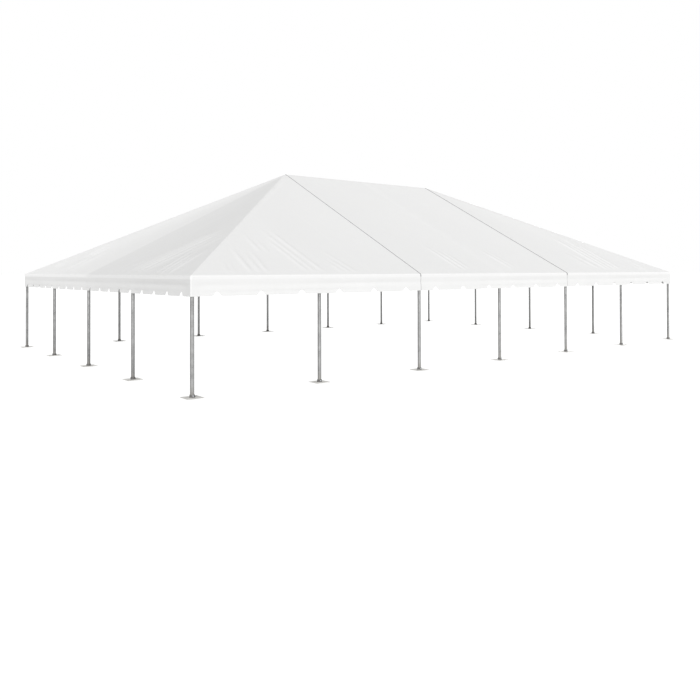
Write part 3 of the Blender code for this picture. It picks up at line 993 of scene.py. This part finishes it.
def weld_bead():
    """A small tube round the collar, whose thickness ripples once for each drop."""
    turn_angle = np.linspace(0, 2 * math.pi, 121)[:-1][None, :]
    section = np.linspace(0, 2 * math.pi, 7)[:, None]
    thick = WELD * (1 + 0.10 * np.sin(WELD_RIPPLES * turn_angle))
    radius = COLLAR_RADIUS + 0.001 + thick * np.cos(section)
    height = PLATE_TOP + 0.001 + thick * np.sin(section)
    points = stacked(radius * np.cos(turn_angle), radius * np.sin(turn_angle), height)
    around = np.linspace(0, 2 * math.pi * COLLAR_RADIUS, 121)[None, :]
    return weld_shape(grid_shape(points, around, 0.005 * section, wrap=True, flip=True))


def moved(shape, *offset):
    """The same shape at another place."""
    return shape[0] + np.array(offset), shape[1], shape[2]


plate = weld_shape(join_shapes(*(plate_quarter(i, j) for i in (-1, 1) for j in (-1, 1)), plate_sides()))
collar_outline = [
    (0.0, COLLAR_RADIUS), (0.047, COLLAR_RADIUS), (0.0495, COLLAR_RADIUS - 0.001),
    (0.050, 0.050), (0.050, 0.041),
]
collar = turned((0, 0, PLATE_TOP), (0, 0, COLLAR_TOP), collar_outline, 32)
COLLAR = join_shapes(collar, weld_bead())
print("faces in a plate and a collar:", sum(len(f) for f in plate[1]), sum(len(f) for f in COLLAR[1]))

# %% The frame's centre lines
TUBE = 0.032
SLEEVE = 0.037
SLEEVE_REACH = 0.160
CROWN_REACH = 0.240
RAIL_END = 0.08
SOCKET_DEPTH = 0.160
FIT = 0.0003
FRAME_DROP = (0.012 + SLEEVE + FIT) / math.cos(PITCH)


def frame_point(x, y):
    """The point on the frame's centre lines under a point of the roof."""
    return np.array([x, y, PEAK_Z - SLOPE * max(abs(y), abs(x) - HALF_RIDGE) - FRAME_DROP])


LEG_TOP = frame_point(HALF_LONG, 0)[2] - SOCKET_DEPTH
print("top of the legs:", round(LEG_TOP, 4))

# %% Place the twenty legs
leg_places = {}
for side, sign in LONG_SIDES:
    for i in range(7):
        leg_places[f"leg_{side}_{i + 1}"] = (BAY * i - HALF_LONG, sign * HALF_WIDE)
for end, sign in ENDS:
    for i in (1, 2, 3):
        leg_places[f"leg_{end}_{i}"] = (sign * HALF_LONG, BAY * i - HALF_WIDE)
bolts = []
for name, (x, y) in leg_places.items():
    upright = tube((x, y, PLATE_TOP - SEATED), (x, y, LEG_TOP), LEG_RADIUS, 0.002, 32)
    dress(make_piece(f"{name}_tube", upright, LEG_METAL, sharp=40), "leg", name)
    dress(make_piece(f"{name}_collar", moved(COLLAR, x, y, 0.0), COLLAR_STEEL_AND_SHADE, sharp=40), "leg", name)
    base = make_piece(f"{name}_plate", moved(plate, x, y, 0.0), PLATE_STEEL, sharp=40)
    edge = base.modifiers.new("worn_edge", "BEVEL")
    edge.width = 0.0012
    edge.segments = 1
    edge.limit_method = "ANGLE"
    edge.angle_limit = math.radians(60)
    dress(base, "leg", name)
    away = (0.0, math.copysign(1, y), 0.0) if on_long_side(y) else (math.copysign(1, x), 0.0, 0.0)
    outwards = np.array(away)
    bolts.append(bolt(np.array([x, y, COLLAR_BOLT_Z]) + COLLAR_RADIUS * outwards, outwards))
print("legs:", len(leg_places))

# %% [markdown]
# ## The roof frame
#
# The roof frame can't be seen in the picture, but it carries the top and shows from inside. The
# eave rails run round the tent on the legs, rafters and hip rafters rise from them to two crown
# fittings, and a ridge tube joins the crowns. Cast sleeves hold the tubes at each joint, with a
# bolt underneath each sleeve.
#
# Every member runs between two points of the frame's centre lines, so the joints meet exactly.
# What belongs to one solid is collected under its name, the tubes and the castings apart.

# %% Members of the frame
SLEEVE_LIP = [(0.0, SLEEVE - 0.0015), (0.002, SLEEVE), (0.012, SLEEVE), (0.014, SLEEVE - 0.0012)]
SOCKET_RADIUS = 0.0448
PIN_Z = 0.050
HUB = [
    (0.0, 0.068), (0.004, 0.074), (0.052, 0.074), (0.056, 0.071),
    (0.084, 0.071), (0.088, 0.074), (0.136, 0.074), (0.140, 0.068),
]
HUB_HEIGHT = HUB[-1][0]
HUB_DROP = 0.0185
SOCKET_GAP = 0.0123
BOLT_INSET = 0.040
BOLT_SUNK = 0.0014
tubes, castings = {}, {}


def add_tube(node, start, end, gap_start, gap_end):
    """A tube that stops short of the fittings at its ends."""
    axis = (end - start) / np.linalg.norm(end - start)
    shape = tube(start + axis * (gap_start + FIT), end - axis * (gap_end + FIT), TUBE)
    tubes.setdefault(node, []).append(shape)


def add_sleeve(node, centre, target, reach, back=0.0):
    """A cast sleeve from a joint towards a point, with a raised lip and a bolt underneath. With
    back it also reaches that far the other way, with the same lip and bolt there."""
    axis = (target - centre) / np.linalg.norm(target - centre)
    lip = [(reach - distance, radius) for distance, radius in SLEEVE_LIP[::-1]]
    tail = [(distance - back, radius) for distance, radius in SLEEVE_LIP]
    outline = (tail if back else [(0.0, SLEEVE - 0.0012)]) + lip
    castings.setdefault(node, []).append(turned(centre, target, outline))
    under = axis * axis[2] - np.array([0.0, 0.0, 1.0])
    under /= np.linalg.norm(under)
    for place in [reach - BOLT_INSET] + ([BOLT_INSET - back] if back else []):
        bolts.append(bolt(centre + axis * place + under * (SLEEVE - BOLT_SUNK), under, 0.009))


def add_socket(node, x, y):
    """The upright socket of an eave fitting, with a pin through it and through the leg."""
    centre = frame_point(x, y)
    foot = np.array([x, y, LEG_TOP + FIT])
    height = centre[2] - SOCKET_GAP - foot[2]
    outline = [(0.0, 0.0445), (0.002, 0.046), (0.012, 0.046)]
    outline += [(0.014, SOCKET_RADIUS), (height, SOCKET_RADIUS)]
    castings.setdefault(node, []).append(turned(foot, centre, outline, 28))
    side = np.array([1.0, 0.0, 0.0] if on_long_side(y) else [0.0, 1.0, 0.0])
    for way in (-1, 1):
        bolts.append(bolt(foot + (0, 0, PIN_Z) + side * way * (SOCKET_RADIUS - FIT), side * way))


# %% Place the members of the frame
for side, sign in LONG_SIDES:
    node, y = f"eave_rail_{side}", sign * HALF_WIDE
    add_tube(node, frame_point(-HALF_LONG, y), frame_point(HALF_LONG, y), RAIL_END, RAIL_END)
    for x in BAY * np.arange(-3, 4):
        centre = frame_point(x, y)
        add_socket(node, x, y)
        if abs(x) < HALF_LONG - 0.1:
            add_sleeve(node, centre, frame_point(x + BAY, y), SLEEVE_REACH, SLEEVE_REACH)
            add_sleeve(node, centre, frame_point(x, y - sign * BAY), SLEEVE_REACH)
        else:
            for target_x, target_y in ((0, y), (x, 0), (math.copysign(HALF_RIDGE, x), 0)):
                add_sleeve(node, centre, frame_point(target_x, target_y), SLEEVE_REACH)
for end, sign in ENDS:
    node, x = f"eave_rail_{end}", sign * HALF_LONG
    add_tube(node, frame_point(x, -HALF_WIDE), frame_point(x, HALF_WIDE), SLEEVE_REACH, SLEEVE_REACH)
    for y in BAY * np.arange(-1, 2):
        add_socket(node, x, y)
        add_sleeve(node, frame_point(x, y), frame_point(x, y + BAY), SLEEVE_REACH, SLEEVE_REACH)
        add_sleeve(node, frame_point(x, y), frame_point(x - sign * BAY, y), SLEEVE_REACH)
    crown = frame_point(sign * HALF_RIDGE, 0)
    hub_top = crown - (0, 0, HUB_DROP)
    hub = turned(hub_top - (0, 0, HUB_HEIGHT), hub_top, HUB, 40)
    spigot = [(0.0, 0.0333), (0.0975, 0.0333), (0.0978, 0.031)]
    castings[f"crown_{end}"] = [hub, turned(hub_top - (0, 0, HUB_HEIGHT / 2), crown, spigot, 28)]
    feet = [frame_point(sign * HALF_LONG, y) for y in (-HALF_WIDE, 0, HALF_WIDE)]
    feet += [frame_point(sign * HALF_RIDGE, y) for y in (-HALF_WIDE, HALF_WIDE)] + [frame_point(0, 0)]
    for foot in feet:
        add_sleeve(f"crown_{end}", crown, foot, CROWN_REACH)
    add_tube(f"rafter_{end}_middle", frame_point(sign * HALF_LONG, 0), crown, SLEEVE_REACH, CROWN_REACH)
    for side, side_sign in LONG_SIDES:
        foot = frame_point(sign * HALF_RIDGE, side_sign * HALF_WIDE)
        add_tube(f"rafter_{side}_{end}", foot, crown, SLEEVE_REACH, CROWN_REACH)
        node = f"hip_rafter_{side}_{end}"
        corner = frame_point(sign * HALF_LONG, side_sign * HALF_WIDE)
        middle = (corner + crown) / 2
        add_tube(node, corner, crown, SLEEVE_REACH, CROWN_REACH)
        add_sleeve(node, middle, crown, SLEEVE_REACH, SLEEVE_REACH)
        for foot_x, foot_y in ((middle[0], side_sign * HALF_WIDE), (sign * HALF_LONG, middle[1])):
            foot = frame_point(foot_x, foot_y)
            add_sleeve(node, middle, foot, SLEEVE_REACH)
            add_tube(node, middle, foot, SLEEVE_REACH / 2, SLEEVE_REACH)
ridge_middle, ridge_end = frame_point(0, 0), frame_point(HALF_RIDGE, 0)
add_tube("ridge_tube", frame_point(-HALF_RIDGE, 0), ridge_end, CROWN_REACH, CROWN_REACH)
add_sleeve("ridge_tube", ridge_middle, ridge_end, SLEEVE_REACH, SLEEVE_REACH)
for _, sign in LONG_SIDES:
    foot = frame_point(0, sign * HALF_WIDE)
    add_sleeve("ridge_tube", ridge_middle, foot, SLEEVE_REACH)
    add_tube("ridge_tube", ridge_middle, foot, SLEEVE_REACH / 2, SLEEVE_REACH)

# %% Make the members and the bolts
for kind, metal, members in (("tubes", ROOF_METAL, tubes), ("castings", CAST_METAL, castings)):
    for node, shapes in members.items():
        slot = "crown_fitting" if node.startswith("crown") else "frame_tube"
        dress(make_piece(f"{node}_{kind}", join_shapes(*shapes), metal, sharp=35), slot, node)
dress(make_piece("bolts", join_shapes(*bolts), BOLT_STEEL, sharp=35), "frame_tube")
print("members:", len(tubes), "with tubes,", len(castings), "with castings; bolts:", len(bolts))

# %% [markdown]
# ## Stage, light and camera
#
# The tent stands on a plain pale floor in front of a white sky, so that its own white stays a
# little darker than what is behind it. To the camera the floor and the sky are nearly white, but
# they light the tent more softly, so that one broad light from the front can draw the folds.
# What metal mirrors of the floor gets darker behind the front row of legs, as the ground of the
# real place probably was, and this gives the round tubes their dark edges.

# %% Floor and sky
scene = bpy.context.scene
AMBIENT = 0.42
FLOOR_FELT = 1.3 * AMBIENT
FLOOR_PALE = 0.97
FLOOR_DARK = 0.36
PALE_UP_TO = -7.2
DARK_FROM = -4.8
FLOOR_REACH = 400.0
FLOOR_Z = -0.002


def studio_white(tree, strength, seen, felt, mirrored):
    """The strength is one number for what the camera sees and one for the soft light that is
    felt. For what metal mirrors it is a number or a node's output."""
    path = tree.nodes.new("ShaderNodeLightPath").outputs
    otherwise = mirrored
    for ray, number in (("Is Diffuse Ray", felt), ("Is Camera Ray", seen)):
        mix = tree.nodes.new("ShaderNodeMix")
        for socket, value in zip(mix.inputs[:4], (path[ray], None, otherwise, number)):
            if value is not None:
                plug(tree, socket, value)
        otherwise = mix.outputs[0]
    tree.links.new(otherwise, strength)


world = bpy.data.worlds.new("white_sky")
world.use_nodes = True
sky = world.node_tree.nodes["Background"]
sky.inputs["Color"].default_value = (1.0, 1.0, 1.0, 1.0)
studio_white(world.node_tree, sky.inputs["Strength"], seen=1.0, felt=AMBIENT, mirrored=1.0)
scene.world = world
scene.view_settings.view_transform = "Standard"

net = Finish("floor_pale")
net.shader.inputs["Emission Color"].default_value = (1.0, 1.0, 1.0, 1.0)
shade = net.add(
    "ShaderNodeMapRange", {"interpolation_type": "SMOOTHSTEP"}, Value=net.parts(net.place)["Y"],
    From_Min=PALE_UP_TO, From_Max=DARK_FROM, To_Min=FLOOR_PALE, To_Max=FLOOR_DARK,
)
glow = net.shader.inputs["Emission Strength"]
studio_white(net.tree, glow, seen=FLOOR_PALE, felt=FLOOR_FELT, mirrored=shade.outputs["Result"])
net.material.cycles.emission_sampling = "NONE"
reach = np.array([-FLOOR_REACH, FLOOR_REACH])
floor_grid = grid_shape(stacked(reach, reach[:, None], FLOOR_Z), reach[None, :], reach[:, None], flip=True)
floor = make_piece("floor", floor_grid, net.done((0.06, 0.06, 0.06, 1.0), 0.9))
print("stage:", world.name, floor.name)


# %% Lights
def add_sun(name, source, strength, softness):
    """A far light that shines from a direction to the origin, with soft shadows."""
    lamp = bpy.data.lights.new(name, "SUN")
    lamp.energy = strength
    lamp.angle = math.radians(softness)
    sun = bpy.data.objects.new(name, lamp)
    sun.rotation_euler = Vector(source).to_track_quat("Z", "Y").to_euler()
    scene.collection.objects.link(sun)


add_sun("front_light", (-0.541, -0.734, 0.410), 2.85, 20.0)
add_sun("back_light", (0.80, 0.58, 0.14), 1.2, 12.0)

# %% [markdown]
# The camera stands a little higher than the eave, beyond the near corner. Its place, turn and
# focal length come from the feet of the twenty legs in the picture, and the shift puts its
# middle where it is in the picture. A camera placed by eye would also give a likely view, but with
# this one the render can be laid over the picture. Lengths in the picture are in pixels, and
# angles in radians.

# %% Camera
PICTURE = 700
FOCAL_LENGTH = 715.14
MIDDLE_X, MIDDLE_Y = 365.0, 262.8
CAMERA_PLACE = (-15.3485, -19.0849, 2.4784)
YAW, TILT, ROLL = 0.682838, -0.010634, -0.002791
SENSOR = 36.0

camera_data = bpy.data.cameras.new("camera")
camera_data.sensor_width = SENSOR
camera_data.lens = SENSOR * FOCAL_LENGTH / PICTURE
camera_data.shift_x = (PICTURE / 2 - MIDDLE_X) / PICTURE
camera_data.shift_y = (MIDDLE_Y - PICTURE / 2) / PICTURE
camera_data.clip_end = 1000.0
camera = bpy.data.objects.new("camera", camera_data)
stand = Matrix.Translation(CAMERA_PLACE)
for angle, axis in ((-YAW, "Z"), (math.pi / 2 - TILT, "X"), (ROLL, "Z")):
    stand = stand @ Matrix.Rotation(angle, 4, axis)
camera.matrix_world = stand
scene.collection.objects.link(camera)
scene.camera = camera
print("camera at:", CAMERA_PLACE, "lens:", round(camera_data.lens, 2))
